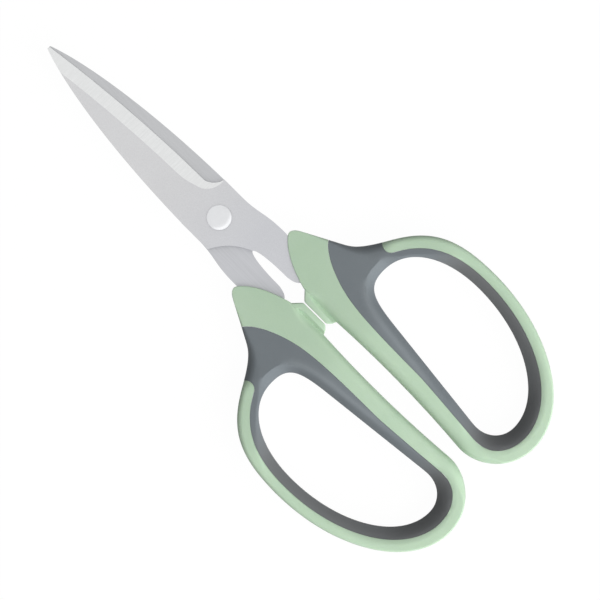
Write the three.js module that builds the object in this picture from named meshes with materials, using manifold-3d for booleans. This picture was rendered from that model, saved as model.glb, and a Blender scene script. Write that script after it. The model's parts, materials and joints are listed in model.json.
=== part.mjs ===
// Household scissors: two halves, one of them turned over, on one rivet.
// Millimetres, +Z up, +X towards the tips. The scissors lie closed on the undersides of their handles,
// and the origin is at the bottom of the box that they fill, in the middle of it.
//
// One half is drawn with the pivot at the origin. "back" is a distance behind the pivot, and "out" is a
// distance from the middle line towards the half's own handle, so x = -back and y = -out.

import * as THREE from 'three';
import { mergeVertices } from 'three/addons/utils/BufferGeometryUtils.js';
import Module from 'manifold-3d';

const wasm = await Module();
wasm.setup();

// Blade
const BLADE_REACH = 73; // pivot to tip
const BLADE_THICKNESS = 2.2;
const BLADE_GAP = 0.3; // between the inner faces of the two blades
const TIP_WIDTH = 1.1;
const SPINE_OUT = 9.25; // middle line to spine, at the pivot
const SPINE_TAPER = 24; // length of the tip's taper
const EDGE_OUT = 4.85; // middle line to cutting edge, at the heel
const EDGE_BOW = 1; // bulge of the cutting edge past a straight line
const EDGE_THICKNESS = 0.35;
const BEVEL_WIDTH = 4.15;
const BEVEL_RUN_IN = 14; // length over which the bevel fades in, from the shoulder
const HEEL_AHEAD = 11.5; // pivot to the start of the cutting edge
const SHOULDER_AHEAD = 7.1; // pivot to the shoulder, where the heel's curve reaches the side
const CROTCH_BACK = 4.3; // where the curve of the crotch leaves the spine
const CROTCH_END = 14.3; // where it reaches the middle line
const CROTCH_BOW = 1.3; // how far that curve is hollowed behind a straight line
const SHANK_OUT = 10.9; // middle line to the shank's outer side, where it enters the handle
const SHANK_FLARE_BACK = 8; // where the shank grows wider
const SHANK_GAP = 1.75; // half of the opening between the two shanks
const SHANK_GAP_BACK = 26.5; // where that opening is at its widest

// Tang, the end of the blade inside the handle
const TANG_NECK_BACK = 31.5;
const TANG_NECK_OUT = 4;
const TANG_END = 62;
const TANG_COVER = 1.7; // plastic on each side of its end
const TANG_HOLE_RADIUS = 1.4; // the plastic runs through this hole and locks the tang
const TANG_HOLE_BACK = 38;
const TANG_CLEARANCE = 0.3;

// Rivet and washer
const RIVET_RADIUS = 2.5;
const RIVET_CLEARANCE = 0.06;
const RIVET_HEAD_OVERHANG = 1.1;
const RIVET_HEAD_HEIGHT = 1.5;
const RIVET_HEAD_RIM = 0.4;
const RIVET_TAIL_OVERHANG = 0.8;
const RIVET_TAIL_HEIGHT = 0.9;
const WASHER_WIDTH = 1.7;
const WASHER_THICKNESS = 0.5;
const WASHER_DISH = 0.25;
const SEAT_GAP = 0.15; // between the rivet, the washer and the blades

// Finger hole
const LOOP_FRONT = 46.4; // pivot to the front of the hole
const LOOP_FRONT_OUT = 24; // middle line to that place
const LOOP_NEAR_RUN = 13.6; // from the hole's front to its straight near side
const LOOP_NEAR_OUT = 14.45; // middle line to the front end of the near side
const LOOP_HEEL_RUN = 9.1; // from the near side's rear end to the hole's rear
const LOOP_HEEL_OUT = 10.2; // middle line to the near side's rear end
const LOOP_WALL_CROWN = 6.95; // hole to the handle's outside, at the widest place
const LOOP_WALL_END = 8.9; // and at the rear end

// Outside of a handle
const HANDLE_THICKNESS = 12;
const LIP_THICKNESS = 7.2; // the handle is a wedge, thinnest at the lip
const TAPER_BACK = 56; // from here on it is of full thickness
const HANDLE_END = 116.5; // pivot to the rear end
const HANDLE_END_OUT = 18;
const HANDLE_CROWN = 47.1; // middle line to the widest place
const HANDLE_CROWN_BACK = 71;
const HANDLE_HEEL_RUN = 15.5; // from the slot between the handles to the rear end
const HANDLE_HEEL_OUT = 1.95;
const SLOT_BOW = 0.95; // bulge of the slot's side past a straight line
const WAIST_AHEAD = 4.9; // the waist, where the outside turns into the loop, ahead of the hole's front
const WAIST_RISE = 7.9; // and further out than it
const WAIST_BLEND = 3.9;
const SHOULDER_RUN = 8.5; // from the rear end of the straight shoulder to the waist
const SHOULDER_DROP = 10.7;
const LIP_BACK = 17.6; // front corner, where the blade comes out
const LIP_WALL = 0.9; // plastic past the shank's outer side, at that corner
const LIP_RUN = 1.35; // slanted face from the front corner to the shoulder: its length backwards
const LIP_RISE = 1.95; // and outwards
const FRONT_BEND_BACK = 22.1; // bend of the front edge, from the lip to the stop
const FRONT_BEND_OUT = 6.1;
const LIP_ROUND = 0.7; // rounding of the front lip's edges, seen from above
const EDGE_ROUND = 3; // rounding of the loop's edges
const ROUND_STRETCH = 1.3; // height of a rounding for its width
const SIDE_SHARE = 0.26; // the most of a loop's wall that the rounding of its outside takes
const HOLE_SHARE = 0.45; // and that of the finger hole

// Soft grip
const LINER_CROWN = 3.2; // width of the grip's band round the hole, at the widest place
const LINER_END = 4.4; // at the rear end
const LINER_HEEL = 3.3; // and at the two ends of the near side
const LINER_NEAR = 4.6;
const LOBE_LENGTH = 17.2; // from the lobe's front to the hole
const LOBE_NOSE_RUN = 0.6; // the lobe's front corner, behind its front
const LOBE_NOSE_DEPTH = 2.1; // and inside the handle's outside
const LOBE_NECK_AHEAD = 5.9; // where the lobe narrows into the band, ahead of the hole's front
const LOBE_NECK_IN = 3.4; // and closer to the middle line than the near side
const RING_TIP_AHEAD = 1.4; // front end of the shell's part of the loop, ahead of the hole's front
const RING_TIP_RISE = 6.3; // and further out than it
const RING_BEND_RUN = 7.6; // where its curve bends, behind the hole's front
const RING_END_AHEAD = 1.3; // where its rounded end meets the outside, ahead of the waist
const RING_END_DROP = 2.6;
const RING_TIP_ROUND = 3.5;
const GRIP_SKIN = 2; // grip over the shell's hard core
const GRIP_CLEARANCE = 0.3;
const CORE_THICKNESS = 4;

// Closing stop
const STOP_GAP = 0.6; // between the two stops
const STOP_FRONT = 35;
const STOP_LENGTH = 11.8;
const STOP_THICKNESS = 6.8;
const STOP_CORNER = 1.2;
const STOP_DEPTH = 2.4; // how far the stop stands off the handle's side

// Fullness of the curves: 0 is a straight line, and 1 runs into the corner
const ELLIPSE = 0.55; // a quarter of an ellipse
const HEEL_FULLNESS = 0.42;
const SPINE_FULLNESS = 0.6;
const FRONT_FULLNESS = 0.75;
const WAIST_FULLNESS = 0.75;
const CROWN_FULLNESS = 0.75;
const HOLE_FULLNESS = 0.6;
const HOLE_NEAR_FULLNESS = 0.82;
const LOBE_FULLNESS = 0.75;
const LINER_FULLNESS = 0.68; // the grip's corner between the near side and the rear end
const LOBE_BLEND = 0.4; // share of the lobe's straight side that belongs to its nose
const RING_FULLNESS = 0.7;

const CIRCLE_STEPS = 32;
const CURVE_STEPS = 10;
const DOME_STEPS = 6;
const BEVEL_STEPS = 42;
const ROUND_STEPS = 3;
const OVERRUN = 1; // how far a cutter passes what it cuts
const SAME_POINT = 0.001; // points closer than this are one

const STEEL = { color: 0xd2d3d5, roughness: 0.38, metalness: 1 };
const POLISHED_STEEL = { color: 0xe2e3e4, roughness: 0.25, metalness: 1 };
const GREEN_PLASTIC = { color: 0xb2cab0, roughness: 0.45, metalness: 0 };
const GREY_RUBBER = { color: 0x747d80, roughness: 0.7, metalness: 0 };

const at = (back, out) => new THREE.Vector2(-back, -out);
const backOf = (point) => -point.x;
const outOf = (point) => -point.y;

// Heights, with the middle of the thickness at 0
const bladeInside = BLADE_GAP / 2;
const bladeOutside = bladeInside + BLADE_THICKNESS;
const handleTop = HANDLE_THICKNESS / 2;
const headBottom = bladeOutside + SEAT_GAP;
const washerTop = -bladeOutside - SEAT_GAP;
const tailTop = washerTop - WASHER_THICKNESS - WASHER_DISH - SEAT_GAP;
const edgeRound = Math.min(EDGE_ROUND, handleTop / ROUND_STRETCH);

// Places that several pieces share
const sideOut = STOP_GAP / 2 + STOP_DEPTH; // the handle's side behind the stop
const stopEnd = STOP_FRONT + STOP_LENGTH;
const slotEnd = HANDLE_END - HANDLE_HEEL_RUN;
const holeEnd = HANDLE_END - LOOP_WALL_END;
const holeCrown = HANDLE_CROWN - LOOP_WALL_CROWN;
const holeNear = at(LOOP_FRONT + LOOP_NEAR_RUN, LOOP_NEAR_OUT);
const holeHeel = at(holeEnd - LOOP_HEEL_RUN, LOOP_HEEL_OUT);
const gripNear = at(backOf(holeNear), LOOP_NEAR_OUT - LINER_NEAR);
const gripHeel = at(backOf(holeHeel) + LINER_HEEL, LOOP_HEEL_OUT - LINER_HEEL);
const waist = at(LOOP_FRONT - WAIST_AHEAD, LOOP_FRONT_OUT + WAIST_RISE);
const shoulder = at(backOf(waist) - SHOULDER_RUN, outOf(waist) - SHOULDER_DROP);
const shank = at(LIP_BACK, SHANK_OUT);
const lipFront = at(LIP_BACK, SHANK_OUT + LIP_WALL);
const lip = lipFront.clone().add(at(LIP_RUN, LIP_RISE));

// Outlines

function pathFrom(point) {
  return new THREE.Path().moveTo(point.x, point.y);
}

function line(path, point) {
  path.lineTo(point.x, point.y);
}

// A rounded corner from where the path is, bending towards a point, to the end.
function corner(path, bend, end, fullness = ELLIPSE) {
  const first = path.currentPoint.clone().lerp(bend, fullness);
  const second = end.clone().lerp(bend, fullness);
  path.bezierCurveTo(first.x, first.y, second.x, second.y, end.x, end.y);
}

// A shallow curve from where the path is to the end. Its middle lies a side step away from a straight line.
function bow(path, end, step) {
  const bend = path.currentPoint.clone().lerp(end, 0.5).addScaledVector(step, 2);
  path.quadraticCurveTo(bend.x, bend.y, end.x, end.y);
}

// The distance out, at a place along the line through two points.
function outOnLine(first, second, back) {
  const share = (back - backOf(first)) / (backOf(second) - backOf(first));
  return THREE.MathUtils.lerp(outOf(first), outOf(second), share);
}

// The path's points in counterclockwise order, with none twice.
function pointsOf(path, steps = CURVE_STEPS) {
  const points = path.getPoints(steps);
  if (points[0].distanceTo(points.at(-1)) < SAME_POINT) points.pop();
  return THREE.ShapeUtils.isClockWise(points) ? points.reverse() : points;
}

function circlePoints(centre, radius) {
  return pointsOf(new THREE.Path().absarc(centre.x, centre.y, radius, 0, 2 * Math.PI), CIRCLE_STEPS / 2);
}

// The outline with each point moved outwards by its own distance. A negative distance moves it inwards.
function movedOut(points, distances) {
  return points.map((point, i) => {
    const arriving = point.clone().sub(points.at(i - 1)).normalize();
    const leaving = points[(i + 1) % points.length].clone().sub(point).normalize();
    const along = arriving.clone().add(leaving).normalize();
    const reach = distances[i] / along.dot(leaving);
    return new THREE.Vector2(point.x + along.y * reach, point.y - along.x * reach);
  });
}

function grown(points, distance) {
  return movedOut(points, points.map(() => distance));
}

// Solids

function solidOf(geometry) {
  geometry.deleteAttribute('normal');
  geometry.deleteAttribute('uv');
  const merged = mergeVertices(geometry);
  const vertProperties = new Float32Array(merged.attributes.position.array);
  const triVerts = new Uint32Array(merged.index.array);
  return new wasm.Manifold(new wasm.Mesh({ numProp: 3, vertProperties, triVerts }));
}

function geometryFrom(positions, triangles) {
  const geometry = new THREE.BufferGeometry();
  geometry.setAttribute('position', new THREE.Float32BufferAttribute(positions, 3));
  geometry.setIndex(triangles);
  geometry.computeVertexNormals();
  return geometry;
}

function geometryOf(solid) {
  const { vertProperties, triVerts } = solid.getMesh();
  return geometryFrom(Array.from(vertProperties), Array.from(triVerts));
}

function prism(points, bottom, top, holes = []) {
  const shape = new THREE.Shape(points);
  shape.holes = holes.map((hole) => new THREE.Path(hole));
  const geometry = new THREE.ExtrudeGeometry(shape, { depth: top - bottom, bevelEnabled: false });
  return solidOf(geometry.translate(0, 0, bottom));
}

// Triangles between rings of the same number of points, one ring after the other in the list of points.
function ringTriangles(first, rings, count) {
  const triangles = [];
  for (let ring = 0; ring + 1 < rings; ring += 1) {
    for (let i = 0; i < count; i += 1) {
      const a = first + ring * count + i;
      const b = first + ring * count + ((i + 1) % count);
      triangles.push(a, b, a + count, b, b + count, a + count);
    }
  }
  return triangles;
}

// A wedge through three-cornered sections.
function wedge(sections) {
  const positions = sections.flat().flatMap((point) => point.toArray());
  const triangles = ringTriangles(0, sections.length, 3);
  const last = 3 * (sections.length - 1);
  triangles.push(0, 2, 1, last, last + 1, last + 2);
  return solidOf(geometryFrom(positions, triangles));
}

// Half of the handle's thickness at a point.
function topOf(point) {
  const share = THREE.MathUtils.clamp((backOf(point) - LIP_BACK) / (TAPER_BACK - LIP_BACK), 0, 1);
  return THREE.MathUtils.lerp(LIP_THICKNESS / 2, handleTop, share);
}

// The handle as a slab with rounded edges. Each point of its outline and of its hole has its own rounding.
function roundedSlab(outline, hole) {
  const steps = [];
  for (let step = 0; step <= ROUND_STEPS; step += 1) steps.push(step / ROUND_STEPS);
  const levels = [...steps.map((step) => [-1, 1 - step]), ...steps.map((step) => [1, step])];
  const positions = [];
  const triangles = [];
  const firstPoints = [outline, hole].map(({ points, rounds }, which) => {
    const first = positions.length / 3;
    for (const [side, step] of levels) {
      const angle = (step * Math.PI) / 2;
      const inwards = rounds.map((round) => -round * (1 - Math.cos(angle)));
      const ring = movedOut(points, which === 0 ? inwards : inwards.map((distance) => -distance));
      ring.forEach((point, i) => {
        const drop = rounds[i] * ROUND_STRETCH * (1 - Math.sin(angle));
        positions.push(point.x, point.y, side * (topOf(point) - drop));
      });
    }
    const faces = ringTriangles(first, levels.length, points.length);
    triangles.push(...(which === 0 ? faces : faces.reverse()));
    return first;
  });
  for (const level of [0, levels.length - 1]) {
    const rings = [outline, hole].map(({ points }, which) => {
      return points.map((_, i) => firstPoints[which] + level * points.length + i);
    });
    rings[1].reverse();
    const inPlan = (i) => new THREE.Vector2(positions[3 * i], positions[3 * i + 1]);
    const flat = rings.map((ring) => ring.map(inPlan));
    const faces = THREE.ShapeUtils.triangulateShape(flat[0], [flat[1]]).flat();
    const all = rings.flat();
    triangles.push(...(level === 0 ? faces.reverse() : faces).map((i) => all[i]));
  }
  return solidOf(geometryFrom(positions, triangles));
}

// Blade

function cuttingEdge() {
  const path = pathFrom(at(-SHOULDER_AHEAD, SPINE_OUT));
  corner(path, at(-SHOULDER_AHEAD, EDGE_OUT), at(-HEEL_AHEAD, EDGE_OUT), HEEL_FULLNESS);
  bow(path, at(-BLADE_REACH + TIP_WIDTH / 2, TIP_WIDTH / 4), at(0, EDGE_BOW));
  return path;
}

// The tang's two sides, as straight lines from where it enters the handle to its rounded end.
function tangSides() {
  const slotSide = outOnSlot(TANG_END) + TANG_COVER;
  const gripSide = outOnLine(gripNear, gripHeel, TANG_END) - TANG_COVER;
  const endBack = TANG_END - (gripSide - slotSide) / 2;
  const near = [at(TANG_NECK_BACK, TANG_NECK_OUT), at(endBack, slotSide)];
  const far = [shank, at(endBack, gripSide)];
  return { near, far };
}

function tangHole(radius) {
  const { near, far } = tangSides();
  const out = (outOnLine(...near, TANG_HOLE_BACK) + outOnLine(...far, TANG_HOLE_BACK)) / 2;
  return circlePoints(at(TANG_HOLE_BACK, out), radius);
}

function bladeOutline() {
  const { near, far } = tangSides();
  const tangEnd = near[1].clone().lerp(far[1], 0.5);
  const path = cuttingEdge();
  corner(path, at(-BLADE_REACH, TIP_WIDTH / 4), at(-BLADE_REACH, -TIP_WIDTH / 2));
  corner(path, at(-BLADE_REACH + SPINE_TAPER, -SPINE_OUT), at(0, -SPINE_OUT), SPINE_FULLNESS);
  line(path, at(CROTCH_BACK, -SPINE_OUT));
  bow(path, at(CROTCH_END, 0), at(-CROTCH_BOW, CROTCH_BOW).multiplyScalar(Math.SQRT1_2));
  corner(path, at(CROTCH_END, SHANK_GAP), at(SHANK_GAP_BACK, SHANK_GAP));
  corner(path, at(TANG_NECK_BACK, SHANK_GAP), near[0]);
  line(path, near[1]);
  path.absarc(tangEnd.x, tangEnd.y, tangEnd.distanceTo(near[1]), Math.PI / 2, 1.5 * Math.PI);
  line(path, shank);
  const flare = [at(SHANK_FLARE_BACK, SHANK_OUT), at(SHANK_FLARE_BACK, SPINE_OUT), at(0, SPINE_OUT)];
  path.bezierCurveTo(...flare.flatMap((point) => point.toArray()));
  line(path, at(-SHOULDER_AHEAD, SPINE_OUT));
  return pointsOf(path);
}

// What the grinding takes off: a slope from the bevel's line on the outside down to the cutting edge.
function bevelCut() {
  const points = cuttingEdge().getSpacedPoints(BEVEL_STEPS);
  const slope = (BLADE_THICKNESS - EDGE_THICKNESS) / BEVEL_WIDTH;
  const tipWay = points.at(-1).clone().sub(points.at(-2)).setLength(TIP_WIDTH + OVERRUN);
  points.push(points.at(-1).clone().add(tipWay));
  let run = 0;
  return wedge(points.map((point, i) => {
    const before = points[Math.max(i - 1, 0)];
    const after = points[Math.min(i + 1, points.length - 1)];
    const way = after.clone().sub(before).normalize();
    const outwards = new THREE.Vector2(way.y, -way.x);
    run += point.distanceTo(before);
    const width = BEVEL_WIDTH * Math.sin((Math.min(run / BEVEL_RUN_IN, 1) * Math.PI) / 2);
    const inner = point.clone().addScaledVector(outwards, -width - OVERRUN);
    const outer = point.clone().addScaledVector(outwards, OVERRUN);
    const high = bladeOutside + slope * OVERRUN;
    const low = bladeOutside - slope * (width + OVERRUN);
    return [
      new THREE.Vector3(inner.x, inner.y, high),
      new THREE.Vector3(outer.x, outer.y, high),
      new THREE.Vector3(outer.x, outer.y, low),
    ];
  }));
}

function blade() {
  const bore = circlePoints(at(0, 0), RIVET_RADIUS + RIVET_CLEARANCE);
  const holes = [bore, tangHole(TANG_HOLE_RADIUS)];
  return prism(bladeOutline(), bladeInside, bladeOutside, holes).subtract(bevelCut());
}

// Handle

// The slot's side between the handles, from the stop to the heel.
function outOnSlot(back) {
  const share = (slotEnd - back) / (slotEnd - stopEnd);
  return THREE.MathUtils.lerp(HANDLE_HEEL_OUT, sideOut, share) + 4 * SLOT_BOW * share * (1 - share);
}

function handleOutline() {
  const shoulderBend = shoulder.clone().add(shoulder.clone().sub(lip).setLength(WAIST_BLEND));
  const rise = (HANDLE_CROWN - outOf(waist)) / (outOf(waist) - outOf(shoulderBend));
  const crownBend = waist.clone().addScaledVector(waist.clone().sub(shoulderBend), rise);
  const path = pathFrom(lip);
  line(path, shoulder);
  corner(path, shoulderBend, waist, WAIST_FULLNESS);
  corner(path, crownBend, at(HANDLE_CROWN_BACK, HANDLE_CROWN), CROWN_FULLNESS);
  corner(path, at(HANDLE_END, HANDLE_CROWN), at(HANDLE_END, HANDLE_END_OUT));
  corner(path, at(HANDLE_END, HANDLE_HEEL_OUT), at(slotEnd, HANDLE_HEEL_OUT));
  bow(path, at(stopEnd, sideOut), at(0, SLOT_BOW));
  line(path, at(STOP_FRONT - STOP_CORNER, sideOut));
  corner(path, at(FRONT_BEND_BACK, FRONT_BEND_OUT), lipFront, FRONT_FULLNESS);
  return pointsOf(path);
}

function fingerHole() {
  const endCorner = at(holeEnd, outOnLine(holeNear, holeHeel, holeEnd));
  const frontCorner = at(LOOP_FRONT, outOnLine(holeNear, holeHeel, LOOP_FRONT));
  const front = at(LOOP_FRONT, LOOP_FRONT_OUT);
  const path = pathFrom(front);
  corner(path, at(LOOP_FRONT, holeCrown), at(HANDLE_CROWN_BACK, holeCrown), HOLE_FULLNESS);
  corner(path, at(holeEnd, holeCrown), at(holeEnd, HANDLE_END_OUT));
  corner(path, endCorner, holeHeel);
  line(path, holeNear);
  corner(path, frontCorner, front, HOLE_NEAR_FULLNESS);
  return pointsOf(path);
}

// The width of the rounding at each point of an outline: the full one, or less where the wall is thin.
function roundsOf(points, otherSide, wallShare) {
  return points.map((point) => {
    const wall = Math.min(...otherSide.map((other) => point.distanceTo(other)));
    return Math.min(edgeRound, wallShare * wall);
  });
}

// The outside and the finger hole of a handle, with their roundings. Those of the outside are small at the lip.
function handleEdges() {
  const outside = handleOutline();
  const inside = fingerHole();
  const rounds = roundsOf(outside, inside, SIDE_SHARE).map((round, i) => {
    const share = THREE.MathUtils.smoothstep(backOf(outside[i]), backOf(lip), backOf(waist));
    return THREE.MathUtils.lerp(LIP_ROUND, round, share);
  });
  return [{ points: outside, rounds }, { points: inside, rounds: roundsOf(inside, outside, HOLE_SHARE) }];
}

// The part of the handle that is grip, seen from above, with the finger hole filled.
function gripOutline() {
  const crown = holeCrown + LINER_CROWN;
  const end = holeEnd + LINER_END;
  const lobeFront = LOOP_FRONT - LOBE_LENGTH;
  const front = at(lobeFront, outOnLine(lip, shoulder, lobeFront));
  const nose = front.clone().add(at(LOBE_NOSE_RUN, -LOBE_NOSE_DEPTH));
  const neck = at(LOOP_FRONT - LOBE_NECK_AHEAD, LOOP_NEAR_OUT - LOBE_NECK_IN);
  const ringTip = at(LOOP_FRONT - RING_TIP_AHEAD, LOOP_FRONT_OUT + RING_TIP_RISE);
  const ringBend = at(LOOP_FRONT + RING_BEND_RUN, crown);
  const ringWay = ringTip.clone().sub(ringBend).setLength(RING_TIP_ROUND);
  const ringEnd = waist.clone().sub(at(RING_END_AHEAD, RING_END_DROP));
  const path = pathFrom(front);
  corner(path, nose, nose.clone().lerp(neck, LOBE_BLEND));
  corner(path, neck, gripNear, LOBE_FULLNESS);
  line(path, gripHeel);
  corner(path, at(end, outOf(gripHeel)), at(end, HANDLE_END_OUT), LINER_FULLNESS);
  corner(path, at(end, crown), at(HANDLE_CROWN_BACK, crown));
  corner(path, ringBend, ringTip, RING_FULLNESS);
  corner(path, ringTip.clone().add(ringWay), ringEnd);
  line(path, at(backOf(ringEnd) - SHOULDER_RUN / 2, outOf(waist)));
  line(path, at(lobeFront - OVERRUN, outOf(front) + LIP_WALL));
  return pointsOf(path);
}

// The hard core under the grip, left with a skin of the given thickness all round it.
function core(handle, hole, skin, thickness) {
  const distances = handle.rounds.map((round) => -Math.min(skin, round));
  const outside = movedOut(handle.points, distances);
  return prism(outside, -thickness / 2, thickness / 2, [grown(hole.points, skin)]);
}

function stop() {
  const face = STOP_GAP / 2;
  const root = sideOut + OVERRUN;
  const points = [
    at(STOP_FRONT - STOP_CORNER, root),
    at(STOP_FRONT, face + STOP_CORNER),
    at(STOP_FRONT + STOP_CORNER, face),
    at(stopEnd - STOP_CORNER, face),
    at(stopEnd, face + STOP_CORNER),
    at(stopEnd + STOP_CORNER, root),
  ];
  return prism(points.reverse(), -STOP_THICKNESS / 2, STOP_THICKNESS / 2);
}

function tangPocket() {
  const bottom = bladeInside - TANG_CLEARANCE;
  const top = bladeOutside + TANG_CLEARANCE;
  const lock = tangHole(TANG_HOLE_RADIUS - TANG_CLEARANCE);
  return prism(grown(bladeOutline(), TANG_CLEARANCE), bottom, top, [lock]);
}

function handleShell() {
  const [handle, hole] = handleEdges();
  const cut = prism(grown(gripOutline(), GRIP_CLEARANCE), -HANDLE_THICKNESS, HANDLE_THICKNESS);
  const outside = roundedSlab(handle, hole).subtract(cut);
  const inside = core(handle, hole, GRIP_SKIN, CORE_THICKNESS);
  return outside.add(inside).add(stop()).subtract(tangPocket());
}

function handleGrip() {
  const [handle, hole] = handleEdges();
  const region = prism(gripOutline(), -HANDLE_THICKNESS, HANDLE_THICKNESS);
  const cavity = core(handle, hole, GRIP_SKIN - GRIP_CLEARANCE, CORE_THICKNESS + 2 * GRIP_CLEARANCE);
  return roundedSlab(handle, hole).intersect(region).subtract(cavity).subtract(tangPocket());
}

// Rivet and washer

function turned(path, steps) {
  return new THREE.LatheGeometry(path.getPoints(steps), CIRCLE_STEPS).rotateX(Math.PI / 2);
}

function rivet() {
  const headRadius = RIVET_RADIUS + RIVET_HEAD_OVERHANG;
  const tailRadius = RIVET_RADIUS + RIVET_TAIL_OVERHANG;
  const top = headBottom + RIVET_HEAD_HEIGHT;
  const bottom = tailTop - RIVET_TAIL_HEIGHT;
  const path = new THREE.Path().moveTo(0, bottom);
  corner(path, new THREE.Vector2(tailRadius, bottom), new THREE.Vector2(tailRadius, tailTop));
  path.lineTo(RIVET_RADIUS, tailTop);
  path.lineTo(RIVET_RADIUS, headBottom);
  path.lineTo(headRadius, headBottom);
  path.lineTo(headRadius, headBottom + RIVET_HEAD_RIM);
  corner(path, new THREE.Vector2(headRadius, top), new THREE.Vector2(0, top));
  return turned(path, DOME_STEPS);
}

function washer() {
  const inner = RIVET_RADIUS + SEAT_GAP;
  const outer = inner + WASHER_WIDTH;
  const bottom = washerTop - WASHER_THICKNESS;
  const path = new THREE.Path().moveTo(inner, washerTop - WASHER_DISH);
  path.lineTo(inner, bottom - WASHER_DISH);
  path.lineTo(outer, bottom);
  path.lineTo(outer, washerTop);
  path.closePath();
  return turned(path, 1);
}

// Assembly

function mesh(name, geometry, finish) {
  const part = new THREE.Mesh(geometry, new THREE.MeshStandardMaterial(finish));
  part.name = name;
  return part;
}

function half(bladeName, side) {
  const group = new THREE.Group();
  group.add(mesh(bladeName, geometryOf(blade()), STEEL));
  group.add(mesh(`${side}_handle_shell`, geometryOf(handleShell()), GREEN_PLASTIC));
  group.add(mesh(`${side}_handle_grip`, geometryOf(handleGrip()), GREY_RUBBER));
  return group;
}

const scissors = new THREE.Group();
scissors.position.set((HANDLE_END - BLADE_REACH) / 2, 0, handleTop);

const frontHalf = half('front_blade', 'right');
const rearHalf = half('rear_blade', 'left');
rearHalf.rotation.x = Math.PI;

scissors.add(frontHalf, rearHalf);
scissors.add(mesh('pivot_rivet', rivet(), POLISHED_STEEL));
scissors.add(mesh('tension_washer', washer(), STEEL));

export default scissors;
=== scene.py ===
# %% [markdown]
# # Household scissors
#
# The CAD frame holds eight solids: two steel blades, the rivet that they turn on, its washer, and two
# handles of a hard shell and a soft grip each. This lesson gives every one of them its finished shape and
# its own material, and then lays the scissors out as in the photograph: closed, on white, seen from
# straight above.

# %% Load the frame
import json
import math

import bmesh
import bpy
import numpy as np
from mathutils import Matrix, Vector
from mathutils.geometry import delaunay_2d_cdt

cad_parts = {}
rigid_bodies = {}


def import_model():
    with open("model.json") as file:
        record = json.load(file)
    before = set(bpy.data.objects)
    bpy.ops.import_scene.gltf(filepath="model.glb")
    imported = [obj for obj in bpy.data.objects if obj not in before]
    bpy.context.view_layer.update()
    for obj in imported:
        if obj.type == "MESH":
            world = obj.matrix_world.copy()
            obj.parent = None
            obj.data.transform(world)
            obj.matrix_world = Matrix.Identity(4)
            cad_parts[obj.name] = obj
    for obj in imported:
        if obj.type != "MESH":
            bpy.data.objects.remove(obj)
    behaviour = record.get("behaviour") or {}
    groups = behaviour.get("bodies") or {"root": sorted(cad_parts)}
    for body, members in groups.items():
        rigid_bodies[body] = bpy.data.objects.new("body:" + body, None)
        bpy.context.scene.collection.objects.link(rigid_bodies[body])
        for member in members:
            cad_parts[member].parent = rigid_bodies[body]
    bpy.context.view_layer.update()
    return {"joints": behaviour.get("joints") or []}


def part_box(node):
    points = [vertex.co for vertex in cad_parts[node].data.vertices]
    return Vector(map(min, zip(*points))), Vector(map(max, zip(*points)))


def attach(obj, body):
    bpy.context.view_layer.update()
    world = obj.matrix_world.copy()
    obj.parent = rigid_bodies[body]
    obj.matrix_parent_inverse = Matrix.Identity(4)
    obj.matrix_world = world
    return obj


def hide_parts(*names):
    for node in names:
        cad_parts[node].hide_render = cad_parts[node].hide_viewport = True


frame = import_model()
MM = 0.001  # the frame is in metres, and the sizes in this lesson are in millimetres

# %% [markdown]
# ## One half, drawn once
#
# Both halves are the same stamping and the same moulding, and one of them is turned over. A Mirror modifier
# would make the wrong hand of it. So each piece is drawn once, in the plan of a half: "back" is the
# distance behind the pivot, "out" is the distance from the middle line towards the half's own handle, and
# heights count from the middle of the thickness. A matrix for each half then puts the finished mesh in its
# place. The places that the CAD model already fixes are read from the frame.

# %% The plan of a half
CROWN_TRIM = 0.3  # the photograph shows the loops this much slimmer than the solids

pivot = Vector(frame["joints"][0]["pos_m"])
front_half = Matrix.Translation(pivot) @ Matrix.Scale(MM, 4)
rear_half = front_half @ Matrix.Rotation(math.pi, 4, "X")

shell_low, shell_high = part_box("right_handle_shell")
blade_low, blade_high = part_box("front_blade")
handle_end = (pivot.x - shell_low.x) / MM
handle_crown = (pivot.y - shell_low.y) / MM - CROWN_TRIM
handle_top = (shell_high.z - pivot.z) / MM
blade_reach = (blade_high.x - pivot.x) / MM
blade_inside = (blade_low.z - pivot.z) / MM
blade_outside = (blade_high.z - pivot.z) / MM


def at(back, out):
    return np.array([-back, -out])


def back_of(points):
    return -np.asarray(points)[..., 0]


def out_of(points):
    return -np.asarray(points)[..., 1]


print(f"From the pivot: handle end {handle_end:.1f}, crown {handle_crown:.1f}, tip {blade_reach:.1f} mm")

# %% [markdown]
# ## Curves
#
# The handles have no circle in them: their outlines are long easy curves that run into each other.
# Blender's own curve objects could draw them too, but points that are worked out here can also be measured,
# offset and cut with. A cubic Bezier curve with both handles pulled towards one bend gives such a curve
# from a start, a bend and an end, and one number says how far it fills the corner. A second helper bows a
# straight side a little.

# %% Curves through a few points
ELLIPSE = 0.55  # how full a quarter of an ellipse is
CURVE_STEPS = 40
steps = np.linspace(0, 1, CURVE_STEPS + 1)[1:]


def curve(path, first, second, end):
    start = path[-1]
    for t in steps:
        near, far = 3 * (1 - t) ** 2 * t, 3 * (1 - t) * t**2
        path.append((1 - t) ** 3 * start + near * first + far * second + t**3 * end)


def corner(path, bend, end, fullness=ELLIPSE):
    start = path[-1]
    curve(path, start + (bend - start) * fullness, end + (bend - end) * fullness, end)


def bow(path, end, step):
    start = path[-1]
    for t in steps:
        path.append(start + (end - start) * t + step * 4 * t * (1 - t))


quarter = [np.array([1.0, 0.0])]
corner(quarter, np.array([1.0, 1.0]), np.array([0.0, 1.0]))
print(f"A quarter circle drawn so is true to {abs(np.linalg.norm(quarter, axis=1) - 1).max():.2%}")

# %% [markdown]
# A mesh likes points at equal spacing, so that its faces are of one size. The outline is walked once, points
# are set at even steps, and a light averaging rounds off the sharp corners as a moulding tool would.

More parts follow.
